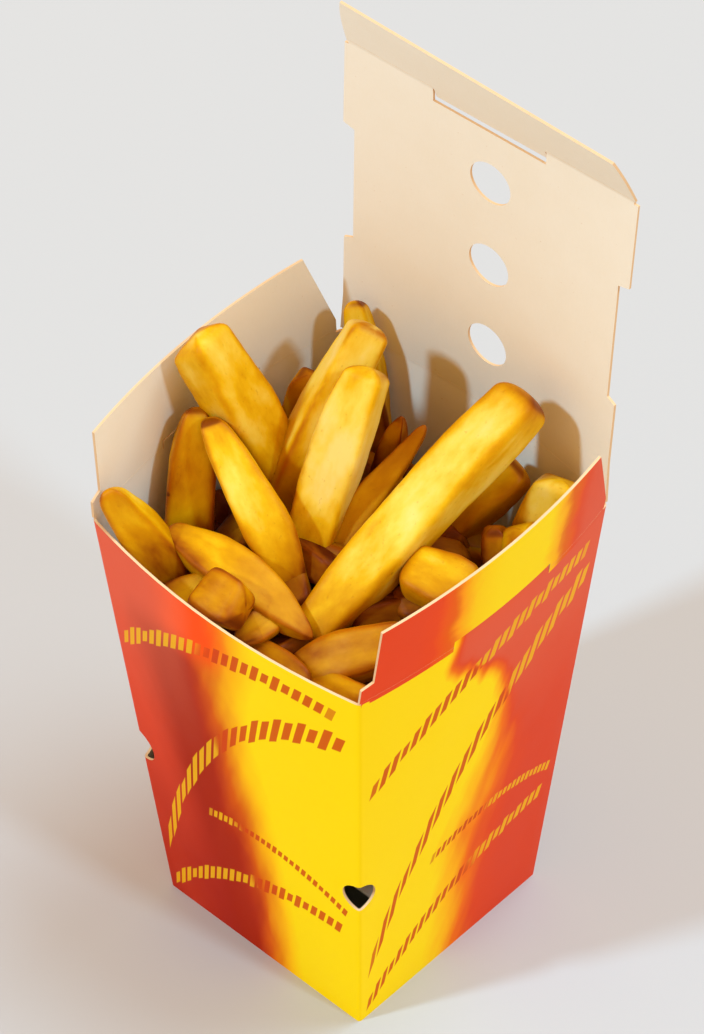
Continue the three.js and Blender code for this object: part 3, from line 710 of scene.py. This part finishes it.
def build_walls():
    """The four walls as one ring, with the holes at the two front folds and the tabs at the rim."""
    fine, arc = 0.0072, FOLD_ROUND / MOUTH_SIDE
    near, arc_step, coarse = 0.085, arc / 2.5, 0.07
    tab_low, tab_high = tab_share(RIM_TAB["from"]), tab_share(RIM_TAB["to"])
    stops = [0, arc, 1 - tab_high, 1 - tab_low, 1 - near, 1 - arc, 1 + arc, 1 + near, 2 - near,
             2 - arc, 2 + arc, 2 + near, 2 + tab_low, 2 + tab_high, 3 - arc, 3 + arc, 4 - arc, 4]
    steps = [arc_step, coarse, coarse, coarse, fine, arc_step, fine, coarse, fine, arc_step, fine,
             coarse, coarse, coarse, arc_step, coarse, arc_step]
    hole_low = CORNER_HOLE["height"] - CORNER_HOLE["fine"]
    hole_high = CORNER_HOLE["height"] + CORNER_HOLE["fine"]
    top = RIM_HEIGHT + RIM_TAB["height"]
    rows = lines([0, hole_low, hole_high, RIM_HEIGHT, top], [9, 0.6, 7, 1.4])
    up, across = np.meshgrid(rows, lines(stops, steps), indexing="ij")
    middle_up, middle_across = cell_middles(up), cell_middles(across)
    left_tab = (middle_across > 1 - tab_high) & (middle_across < 1 - tab_low)
    right_tab = (middle_across > 2 + tab_low) & (middle_across < 2 + tab_high)
    keep = (middle_up < RIM_HEIGHT) | left_tab | right_tab
    for fold in (1, 2):
        width = 2 * half_width(up)
        shifted, up, keep = punch((across - fold) * width, up, keep, (0, CORNER_HOLE["height"]),
                                  CORNER_HOLE["radius"])
        across = fold + shifted / (2 * half_width(up))
    return panel_arrays(across, up, wall_surface, keep, np.stack([across, up / RIM_HEIGHT], -1), ring=True)


def build_foot():
    """The flat foot between the walls, printed below."""
    half = FOOT_SIDE / 2 - BOARD
    across, up = np.meshgrid(lines([-half, half], [9]), lines([-half, half], [9]), indexing="ij")

    def surface(a, b):
        return stack(b, a, 0 * a)

    return panel_arrays(across.T, up.T, surface, every_cell(across.T), np.zeros((*across.T.shape, 2)))


def flap_surface(side):
    """The outer face of a side flap: it goes on from its wall and leans outwards; side is 1 or -1."""
    lean = math.radians(FLAP["lean_right"] if side > 0 else FLAP["lean_left"])

    def surface(across, up):
        outer = HALF_MOUTH + swell(RIM_HEIGHT, across / HALF_MOUTH) + up * math.sin(lean)
        return stack(side * outer, side * across, RIM_HEIGHT + up * math.cos(lean))

    return surface


def flap_grid(side):
    """A flap's grid: rows from the fold to the slanted top, stretched between its two side edges."""
    tab = {"from": RIM_TAB["from"] - CUT_GAP, "to": RIM_TAB["to"] + CUT_GAP,
           "top": RIM_TAB["height"] + CUT_GAP}
    over_step = FLAP["step_height"] + 1
    first, last = FLAP["straight"]
    rows = lines([FOLD_GAP, tab["top"], FLAP["heel_height"], FLAP["step_height"], over_step,
                  FLAP["back_height"]], [1.2, 0.6, 0.8, 0.35, 2.4])
    columns = lines([-1, first, tab["from"] / HALF_MOUTH, tab["to"] / HALF_MOUTH, last, 1],
                    [0.04, 0.06, 0.06, 0.06, 0.04])
    up, share = np.meshgrid(rows, columns, indexing="ij")
    front = lerp(-HALF_MOUTH, FLAP["step_y"], np.clip(up - FLAP["step_height"], 0, 1))
    slope = np.clip((up - FLAP["heel_height"]) / (FLAP["back_height"] - FLAP["heel_height"]), 0, 1)
    back = lerp(FLAP["heel_y"], FLAP["back_top_y"], slope)
    y = share * HALF_MOUTH
    y = np.where(share < first, lerp(front, first * HALF_MOUTH, (share + 1) / (first + 1)), y)
    y = np.where(share > last, lerp(last * HALF_MOUTH, back, (share - last) / (1 - last)), y)
    fall = (FLAP["back_height"] - FLAP["front_height"]) * (FLAP["back_top_y"] - y) / (
        FLAP["back_top_y"] - FLAP["step_y"])
    rise = up - fall * np.clip((up - over_step) / (FLAP["back_height"] - over_step), 0, 1)
    middle_y, middle_up = cell_middles(y), cell_middles(rise)
    keep = ~((middle_y > tab["from"]) & (middle_y < tab["to"]) & (middle_up < tab["top"]))
    if side < 0:
        return -y[:, ::-1], rise[:, ::-1], keep[:, ::-1]
    return y, rise, keep


def build_flap(side):
    across, up, keep = flap_grid(side)
    return panel_arrays(across, up, flap_surface(side), keep, flat_place(across, up))


def fitted(across, straight, half):
    """Columns past straight moved, so that the outermost ones lie at half instead of at the mouth's sides."""
    past = np.abs(across) - straight
    moved = np.sign(across) * lerp(straight, half, past / (HALF_MOUTH - straight))
    return np.where(past > 0, moved, across)


def lid_outer_y(x, up):
    """The lid's outer face: swollen at its fold, flat at its far edge, and leaning back more on the right."""
    share = np.clip(np.abs(x) / HALF_MOUTH, 0, 1)
    lean = np.radians(LID["lean"] + LID["twist"] * (x / HALF_MOUTH))
    return HALF_MOUTH + WALL_BULGE * (1 - share ** 2) * (1 - up / LID["length"]) + up * np.sin(lean)


LID_RISE = math.cos(math.radians(LID["lean"]))


def lid_surface(across, up):
    x = -across
    return stack(x, lid_outer_y(x, up), RIM_HEIGHT + up * LID_RISE)


def build_lid():
    """The lid: straight sides with a waist, a notch for the locking tab and three round vents."""
    notch_half = TUCK["tab_half"] + FOLD_GAP / 2
    notch_up = LID["length"] - TUCK["tab_depth"] - TUCK["slit"]
    last = VENT["first"] + (VENT["count"] - 1) * VENT["spacing"]
    reach = VENT["radius"] + VENT["fine"]
    straight = LID["straight"]
    rows = lines([LID["foot"], VENT["first"] - reach, LID["waist_from"], LID["waist_from"] + 1,
                  LID["waist_to"], LID["waist_to"] + 1, last + reach, notch_up,
                  LID["length"] - FOLD_GAP], [4, 0.8, 0.5, 0.8, 0.5, 0.8, 4, 1])
    columns = lines([-HALF_MOUTH, -straight, -notch_half, -reach, reach, notch_half, straight,
                     HALF_MOUTH], [3, 5, 4, 0.7, 4, 5, 3])
    up, across = np.meshgrid(rows, columns, indexing="ij")
    narrowed = np.clip(up / (LID["waist_from"] * LID["narrowed_by"]), 0, 1)
    below = lerp(HALF_MOUTH, LID["half_below"], narrowed)
    half = lerp(below, LID["half_waist"], np.clip(up - LID["waist_from"], 0, 1))
    half = lerp(half, LID["half_above"], np.clip(up - LID["waist_to"], 0, 1))
    across = fitted(across, straight, half)
    keep = ~((np.abs(cell_middles(across)) < notch_half) & (cell_middles(up) > notch_up))
    for i in range(VENT["count"]):
        across, up, keep = punch(across, up, keep, (-VENT["x"], VENT["first"] + i * VENT["spacing"]),
                                 VENT["radius"])
    return panel_arrays(across, up, lid_surface, keep, flat_place(across, up))


def tuck_surface(across, along):
    """The tuck flap's outer face: it goes on from the lid's far edge, folded forwards."""
    x = -across
    fold = np.radians(lerp(TUCK["fold_left"], TUCK["fold_right"], (x / HALF_MOUTH + 1) / 2))
    inner_y = lid_outer_y(x, LID["length"]) - BOARD
    z_fold = RIM_HEIGHT + LID["length"] * LID_RISE
    return stack(x, inner_y - along * np.sin(fold) + BOARD * np.cos(fold),
                 z_fold + along * np.cos(fold) + BOARD * np.sin(fold))


def build_tuck():
    """The tuck flap with rounded free corners and the locking tab below its fold."""
    foot, straight, tab = FOLD_GAP / 2, TUCK["straight"], TUCK["tab_half"]
    rows = lines([-TUCK["tab_depth"], foot, TUCK["length"]], [1.2, 1.2])
    columns = lines([-HALF_MOUTH, -straight, -tab, tab, straight, HALF_MOUTH], [0.9, 3.6, 3.6, 3.6, 0.9])
    along, across = np.meshgrid(rows, columns, indexing="ij")
    high = TUCK["length"] + TUCK["round_past"] - foot
    rise = np.clip((along - foot) / high, 0, 1)
    half = (HALF_MOUTH - TUCK["corner_width"]
            + (TUCK["corner_width"] - FOLD_GAP) * np.sqrt(1 - rise ** 2))
    across = fitted(across, straight, half)
    keep = ~((np.abs(cell_middles(across)) > tab) & (cell_middles(along) < foot))
    flat = np.stack([across / HALF_MOUTH, TUCK["print_from"] + along / RIM_HEIGHT], -1)
    return panel_arrays(across, along, tuck_surface, keep, flat)


def crease(ends, low_surface, high_surface):
    """A thin strip over a fold: it lies on the lower panel below the fold and on the upper one above it."""
    up, across = np.meshgrid(np.linspace(-CREASE["reach"], CREASE["reach"], 5),
                             lines(ends, [CREASE["step"]]), indexing="ij")

    def surface(a, u):
        share = smooth((u / (FOLD_GAP / 2) + 1) / 2)[..., None]
        return lerp(low_surface(a, u), high_surface(a, u), share)

    return panel_arrays(across, up, surface, every_cell(up), flat_place(across, up),
                        thickness=BOARD + 2 * CREASE["proud"], proud=CREASE["proud"])


def rim_surface(wall):
    """A wall's face round its rim, across from its middle: wall is 0.5 left, 2.5 right and 3.5 behind."""
    return lambda across, up: wall_surface(wall + across / MOUTH_SIDE, RIM_HEIGHT + up)


def build_creases():
    """The fold strips: each one's name, parts, outer finish, the bodies it joins and where it turns."""
    below, above = RIM_HEIGHT - CREASE["below"], RIM_HEIGHT + CREASE["above"]
    front, back = CREASE["flap_ends"]
    made = []
    for side, body in ((1, "flap_right"), (-1, "flap_left")):
        spans = ((front, RIM_TAB["from"] - CUT_GAP), (RIM_TAB["to"] + CUT_GAP, back))
        parts = [crease(sorted((side * low, side * high)), rim_surface(1.5 + side), flap_surface(side))
                 for low, high in spans]
        made.append((f"crease_{body}", parts, FLAP_PRINT, "carton", body,
                     (side * HALF_MOUTH, 0, below), (side * HALF_MOUTH, 0, above)))
    parts = [crease([-CREASE["lid_end"], CREASE["lid_end"]], rim_surface(3.5), lid_surface)]
    made.append(("crease_lid", parts, LID_PRINT, "carton", "lid",
                 (0, HALF_MOUTH, below), (0, HALF_MOUTH, above)))

    def on_lid(across, up):
        return lid_surface(across, LID["length"] + up)

    beside_tab, end = TUCK["tab_half"] + CREASE["tab_gap"], CREASE["tuck_end"]
    parts = [crease(ends, on_lid, tuck_surface) for ends in ([-end, -beside_tab], [beside_tab, end])]
    far, fold_y = RIM_HEIGHT + LID["length"] * LID_RISE, HALF_MOUTH + CREASE["tuck_back"]
    made.append(("crease_tuck", parts, LID_PRINT, "lid", "tuck",
                 (0, fold_y, far - CREASE["round_tuck"]), (0, fold_y, far + CREASE["round_tuck"])))
    return made


def build_carton():
    """The panels, each in place of its node, the strips laid over their folds, and the pad's finish."""
    walls = board_piece("carton_walls", [build_walls()], WALL_PRINT)
    foot = board_piece("carton_foot", [build_foot()], WALL_PRINT)
    for piece in (walls, foot):
        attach(piece, "carton")
        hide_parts("carton_body")
    for side, name, body in ((1, "side_flap_right", "flap_right"), (-1, "side_flap_left", "flap_left")):
        flap = board_piece(f"{body}_board", [build_flap(side)], FLAP_PRINT)
        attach(flap, body)
        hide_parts(name)
    for name, arrays, body, node in (("lid_board", build_lid(), "lid", "lid_panel"),
                                     ("tuck_board", build_tuck(), "tuck", "tuck_flap")):
        panel = board_piece(name, [arrays], LID_PRINT)
        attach(panel, body)
        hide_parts(node)
    for name, parts, outside, low_body, high_body, start, end in build_creases():
        strip = board_piece(name, parts, outside)
        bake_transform(strip)
        "plain_board" if "tuck" in name or "lid" in name else "printed_board"
    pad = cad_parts["inner_floor"]
    for slot in pad.material_slots:
        slot.material = PAD


# ------------------------------------------------------------------ fries


def kept_inside(points):
    """Moves points that would lie in the walls back inside them; above the rim the front is open."""
    x, y, z = points[..., 0], points[..., 1], points[..., 2]
    half = half_width(z)
    room_x = half + swell(z, np.clip(y / half, -1, 1)) - BOARD - TOUCH_GAP
    room_y = half + swell(z, np.clip(x / half, -1, 1)) - BOARD - TOUCH_GAP
    front = np.where(z > RIM_HEIGHT + TOUCH_GAP, 2 * half, room_y)
    return stack(np.clip(x, -room_x, room_x), np.clip(y, -front, room_y), z)


def fry_arrays(fry, rings, sides, draw):
    """One fry as a tube.

    A superellipse of power SECTION_POWER, a little wider on one side, is carried along the line
    between the two ends, which bends like a shallow parabola with a faint S on top. Its size follows
    the narrowing towards each end and, in the last cap mm, a rounding. The ends are cut at a slant.
    Sums of sines in the distance along and the angle round give dents and a twist.
    """
    low, high = np.array(fry.low, float), np.array(fry.high, float)
    length = np.linalg.norm(high - low)
    along = (high - low) / length
    side = unit(np.cross(along, (0, 0, 1)))
    lift = np.cross(side, along)
    theta = np.linspace(0, np.pi / 2, CAP_RINGS + 1)[1:]
    cap = fry.cap
    near_low = cap * (1 - np.cos(theta))
    middle = np.linspace(cap, length - cap, rings)[1:-1]
    distance = np.concatenate([near_low, middle, (length - near_low)[::-1]])
    t = distance / length
    from_end = np.minimum(distance, length - distance)
    rounding = (1 - np.clip(1 - from_end / cap, 0, 1) ** CAP_POWER) ** (1 / CAP_POWER)
    girth = (lerp(fry.ends[0], 1, 1 - (1 - np.clip(t / 0.5, 0, 1)) ** 2)
             * lerp(fry.ends[1], 1, 1 - (1 - np.clip((1 - t) / 0.5, 0, 1)) ** 2))
    angle = np.linspace(0, 2 * np.pi, sides, endpoint=False)
    phase = draw.uniform(0, 2 * np.pi, 10)
    d, a = np.meshgrid(distance, angle, indexing="ij")
    dents = (0.28 * np.sin(d / 7.5 + phase[0] + 1.0 * np.cos(a + phase[1]))
             + 0.15 * np.sin(d / 3.9 + phase[2]) * np.cos(2 * a + phase[3])
             + 0.05 * np.sin(d / 1.9 + phase[4]) * np.cos(3 * a + phase[5])
             + 0.03 * np.sin(d / 0.9 + 5 * np.cos(a) + phase[6]))
    power = 2 / SECTION_POWER
    dish = 0.2 * np.cos(2 * a) ** 2
    scale = (rounding * girth)[:, None]
    wide = (fry.size[0] / 2 - dish + dents) * scale
    thick = (fry.size[1] / 2 - dish + dents) * scale
    v = squared(np.sin(a), power) * thick
    u = squared(np.cos(a), power) * wide * (1 + 0.09 * np.sin(phase[8]) * v / thick.max())
    turn = math.radians(fry.roll) + 0.1 * (np.sin(t * 3 + phase[7]) - np.sin(1.5 + phase[7]))[:, None]
    across = u * np.cos(turn) - v * np.sin(turn)
    upward = u * np.sin(turn) + v * np.cos(turn)
    slant = draw.uniform(-0.28, 0.28, 4)
    if fry.cut is not None:
        slant[2:] = fry.cut
    slant *= min(1, length / 40)
    near_start = np.exp(-distance / 7)[:, None]
    near_finish = np.exp(-(length - distance) / 7)[:, None]
    shear = (slant[0] * u + slant[1] * v) * near_start + (slant[2] * u + slant[3] * v) * near_finish
    wave = 0.35 * np.sin(2 * np.pi * t + phase[9]) * np.minimum(1, from_end / 9)
    bow = 4 * t * (1 - t) * fry.bend + wave
    line = low + np.outer(distance, along) + np.outer(bow, lift)
    ring_points = (line[:, None] + across[..., None] * side + upward[..., None] * lift
                   + shear[..., None] * along)
    points = np.concatenate([low[None], ring_points.reshape(-1, 3), high[None]])
    crisp = np.clip(0.45 + 0.75 * np.sin(a + phase[5]), 0.05, 1)
    rim = np.exp(-((from_end / cap - 0.3) / 0.36) ** 2)[:, None]
    rim = rim * np.clip(0.55 + 0.5 * np.sin(a + phase[6]), 0, 1)
    near = np.abs(np.sin(2 * a))
    edge = np.maximum(near ** 7 * crisp * np.clip(from_end / cap, 0, 1)[:, None], rim)
    heat = np.where(t < 0.5, *(0.5 + 0.5 * np.sin(phase[:2])))
    end = (np.exp(-from_end / 5.0) * (0.35 + 0.65 * heat))[:, None] + 0 * a
    own = np.stack([u, v, d], -1) + draw.uniform(0, 900, 3)
    values = {
        "edge": np.concatenate([[0], edge.ravel(), [0]]),
        "near": np.concatenate([[0], near.ravel(), [0]]),
        "end": np.concatenate([[end[0, 0]], end.ravel(), [end[-1, 0]]]),
        "brown": np.full(len(points), fry.brown),
        "own": np.concatenate([own[0].mean(0)[None], own.reshape(-1, 3), own[-1].mean(0)[None]]),
    }
    return kept_inside(points), tube_loops(len(distance), sides), values


def tube_loops(rings, sides):
    """Faces of a tube whose first and last points are its poles: triangles at the poles, quads between."""
    index = 1 + np.arange(rings * sides).reshape(rings, sides)
    onward = np.roll(index, -1, axis=1)
    quads = np.stack([index[:-1], onward[:-1], onward[1:], index[1:]], -1).reshape(-1, 4)
    last = rings * sides + 1
    first_fan = np.stack([np.zeros(sides, int), onward[0], index[0]], -1)
    last_fan = np.stack([np.full(sides, last), index[-1], onward[-1]], -1)
    return quads[:, ::-1], np.concatenate([first_fan, last_fan])[:, ::-1]


def joined_tubes(name, tubes, finish):
    """Many tubes as one piece."""
    points, faces, values = zip(*tubes)
    quads, fans = [counted_on(part, points) for part in zip(*faces)]
    loops = np.concatenate([quads.ravel(), fans.ravel()])
    starts = np.concatenate([np.arange(len(quads)) * 4, 4 * len(quads) + np.arange(len(fans)) * 3])
    values = {key: np.concatenate([each[key] for each in values]) for key in values[0]}
    return make_piece(name, np.concatenate(points), loops, starts, [finish], values=values, sharp=math.pi)


def lying_fry(turn, reach, z, heading, half_length, tilt, **rest):
    """A fry whose middle lies reach from the heap's axis at z, and whose high end lies tilt above that."""
    middle = np.array([reach * math.cos(turn), reach * math.sin(turn), z])
    run = np.array([half_length * math.cos(heading), half_length * math.sin(heading), tilt])
    return Fry(low=middle - run, high=middle + run, **rest)


def filler_fries():
    """Fries lying across the heap at all angles between those that stand out."""
    draws = random_source(FILLERS["seed"])
    fillers = []
    for i in range(FILLERS["count"]):
        turn = (i + next(draws)) * 2 * math.pi / FILLERS["count"]
        reach = FILLERS["reach"] * math.sqrt(next(draws))
        heading = next(draws) * math.pi
        half_length = lerp(*FILLERS["half"], next(draws))
        slope = 1 - reach / float(half_width(FILLERS["height"]))
        z = (FILLERS["height"] + FILLERS["crown"] * slope
             + lerp(FILLERS["sink"], FILLERS["rise"], next(draws)))
        tilt = (2 * next(draws) - 1) * FILLERS["tilt"]
        size = (lerp(*FILLERS["side"], next(draws)), FILLERS["side"][0])
        share = next(draws)
        fillers.append(lying_fry(turn, reach, z, heading, half_length, tilt, size=size, ends=FILLERS["ends"],
                                 roll=FILLERS["roll"] * share, brown=lerp(*FILLERS["brown"], share)))
    return [filler for index, filler in enumerate(fillers) if index not in FILLERS["skip"]]


def deep_fries(draw):
    """More fries below the fillers, in even steps round the heap, so that gaps look down onto fries."""
    fries = []
    for i in range(DEEP["count"]):
        turn = i * DEEP["turn"]
        reach = DEEP["reach"] * math.sqrt((i + 0.5) / DEEP["count"])
        heading = draw.uniform(0, math.pi)
        z = (DEEP["height"] + DEEP["crown"] * (1 - reach / DEEP["crown_reach"])
             + draw.uniform(-DEEP["uneven"], DEEP["uneven"]))
        tilt = draw.uniform(-DEEP["tilt"], DEEP["tilt"])
        size = (draw.uniform(*DEEP["side"]), DEEP["thickness"])
        fries.append(lying_fry(turn, reach, z, heading, DEEP["half"], tilt, size=size, ends=DEEP["ends"],
                               roll=draw.uniform(0, DEEP["roll"]), brown=draw.uniform(*DEEP["brown"])))
    return fries


def heap_core():
    """The hidden middle of the heap: a rounded square column whose top rises to its middle in lumps."""
    sides = HEAP["core_sides"]
    side_rings, top_rings = HEAP["core_rings"]
    low = INNER_FLOOR_TOP + TOUCH_GAP
    angle = np.linspace(0, 2 * np.pi, sides, endpoint=False)
    height = np.concatenate([np.linspace(low, HEAP["core_top"], side_rings),
                             np.full(top_rings, HEAP["core_top"])])
    reach = np.concatenate([np.ones(side_rings), np.linspace(1, 0.03, top_rings + 1)[1:]])
    z, a = np.meshgrid(height, angle, indexing="ij")
    share = np.broadcast_to(reach[:, None], z.shape)
    power = 2 / HEAP["core_power"]
    half = half_width(z) - HEAP["core_inset"]
    x = squared(np.cos(a), power) * half * share
    y = squared(np.sin(a), power) * half * share
    lumps = np.sin(x / 3.1 + 1.3 * np.sin(y / 5)) * np.cos(y / 3.7 + np.sin(x / 6))
    z = z + (1 - share) * HEAP["crown"] + np.where(share < 1, HEAP["lumps"] * lumps, 0)
    points = np.concatenate([[[0, 0, low]], stack(x, y, z).reshape(-1, 3),
                             [[0, 0, HEAP["core_top"] + HEAP["crown"]]]])
    values = {"edge": np.full(len(points), 0.4), "end": np.zeros(len(points)),
              "brown": np.full(len(points), 0.8), "near": np.zeros(len(points)), "own": points}
    turned_over = [faces[:, ::-1] for faces in tube_loops(len(height), sides)]
    return joined_tubes("heap_core", [(points, turned_over, values)], POTATO_SHADED_DEEP)


def build_fries():
    draw = np.random.default_rng(DRAW_SEED)
    shown = [fry_arrays(fry, *FINENESS["shown"], draw) for fry in FRIES]
    filled = [fry_arrays(fry, *FINENESS["filler"], draw) for fry in filler_fries()]
    deep = [fry_arrays(fry, *FINENESS["deep"], draw) for fry in deep_fries(draw)]
    pieces = [joined_tubes("fries", shown, POTATO), joined_tubes("fries_under", filled, POTATO_SHADED_UNDER),
              joined_tubes("fries_deep", deep, POTATO_SHADED_DEEP), heap_core()]
    for piece in pieces:
        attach(piece, "carton")
        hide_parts("fries_heap")


# ------------------------------------------------------------------ stage, light and camera


FLOOR_REACH = 6000


def build_stage():
    """A wide pale floor."""
    finish = Finish("pale_floor", Roughness=0.55)
    haze = finish.noise(400, detail=2)
    tooth = finish.noise(1.2, detail=2)
    finish.feed(Base_Color=finish.mix(haze * 0.6 + tooth * 0.1, rgb(179, 180, 181), rgb(184, 183, 182)),
                Roughness=0.5 + tooth * 0.2)
    corners = np.array([[-1, -1, 0], [1, -1, 0], [1, 1, 0], [-1, 1, 0]]) * FLOOR_REACH
    floor = make_piece("floor", corners, np.arange(4), [0], [finish.material])


SUNS = {
    "right_light": {"azimuth": 2, "elevation": 45, "strength": 1.2, "spread": 5},
    "front_light": {"azimuth": -112, "elevation": 45, "strength": 2.12, "spread": 5},
    "back_light": {"azimuth": 60, "elevation": 68, "strength": 2.4, "spread": 28},
}
SUN_COLOUR = (0.5, 0.775, 1)
SKY = {"colour": (1, 0.57, 0.2, 1), "strength": 0.92}


def build_light():
    """A soft warm sky and three cooler suns, so that shadows are warm and what is lit stays neutral."""
    world = bpy.data.worlds.new("soft_sky")
    bpy.context.scene.world = world
    world.use_nodes = True
    background = world.node_tree.nodes["Background"]
    background.inputs["Color"].default_value = SKY["colour"]
    background.inputs["Strength"].default_value = SKY["strength"]
    for name, sun in SUNS.items():
        data = bpy.data.lights.new(name, "SUN")
        data.energy = sun["strength"]
        data.angle = math.radians(sun["spread"])
        data.color = SUN_COLOUR
        lamp = bpy.data.objects.new(name, data)
        turn = math.radians(sun["azimuth"] + 90)
        tilt = math.radians(90 - sun["elevation"])
        lamp.rotation_euler = (tilt, 0, turn)
        bpy.context.scene.collection.objects.link(lamp)


CAMERA = {"azimuth": -46.6455, "elevation": 47.3336, "roll": -0.4511, "distance": 1586.749,
          "across": -0.28973, "up": 95.58295, "focal_pixels": 6000, "image_height": 1034, "sensor": 36,
          "far_metres": 20}


def build_camera():
    """The camera, aimed along its own back, right and up directions."""
    azimuth, elevation = math.radians(CAMERA["azimuth"]), math.radians(CAMERA["elevation"])
    roll = math.radians(CAMERA["roll"])
    back = np.array([math.cos(azimuth) * math.cos(elevation), math.sin(azimuth) * math.cos(elevation),
                     math.sin(elevation)])
    right = np.array([-math.sin(azimuth), math.cos(azimuth), 0])
    up = np.cross(back, right)
    turned_right = math.cos(roll) * right + math.sin(roll) * up
    turned_up = math.cos(roll) * up - math.sin(roll) * right
    place = CAMERA["distance"] * back + CAMERA["across"] * turned_right + CAMERA["up"] * turned_up
    data = bpy.data.cameras.new("camera")
    data.sensor_width = CAMERA["sensor"]
    data.lens = CAMERA["focal_pixels"] * CAMERA["sensor"] / CAMERA["image_height"]
    data.clip_end = CAMERA["far_metres"]
    camera = bpy.data.objects.new("camera", data)
    rows = np.stack([turned_right, turned_up, back, place * MM], axis=1)
    camera.matrix_world = Matrix([*rows.tolist(), [0, 0, 0, 1]])
    bpy.context.scene.collection.objects.link(camera)
    bpy.context.scene.camera = camera


build_carton()
build_fries()
build_stage()
build_light()
build_camera()
bpy.context.scene.view_settings.view_transform = "Standard"
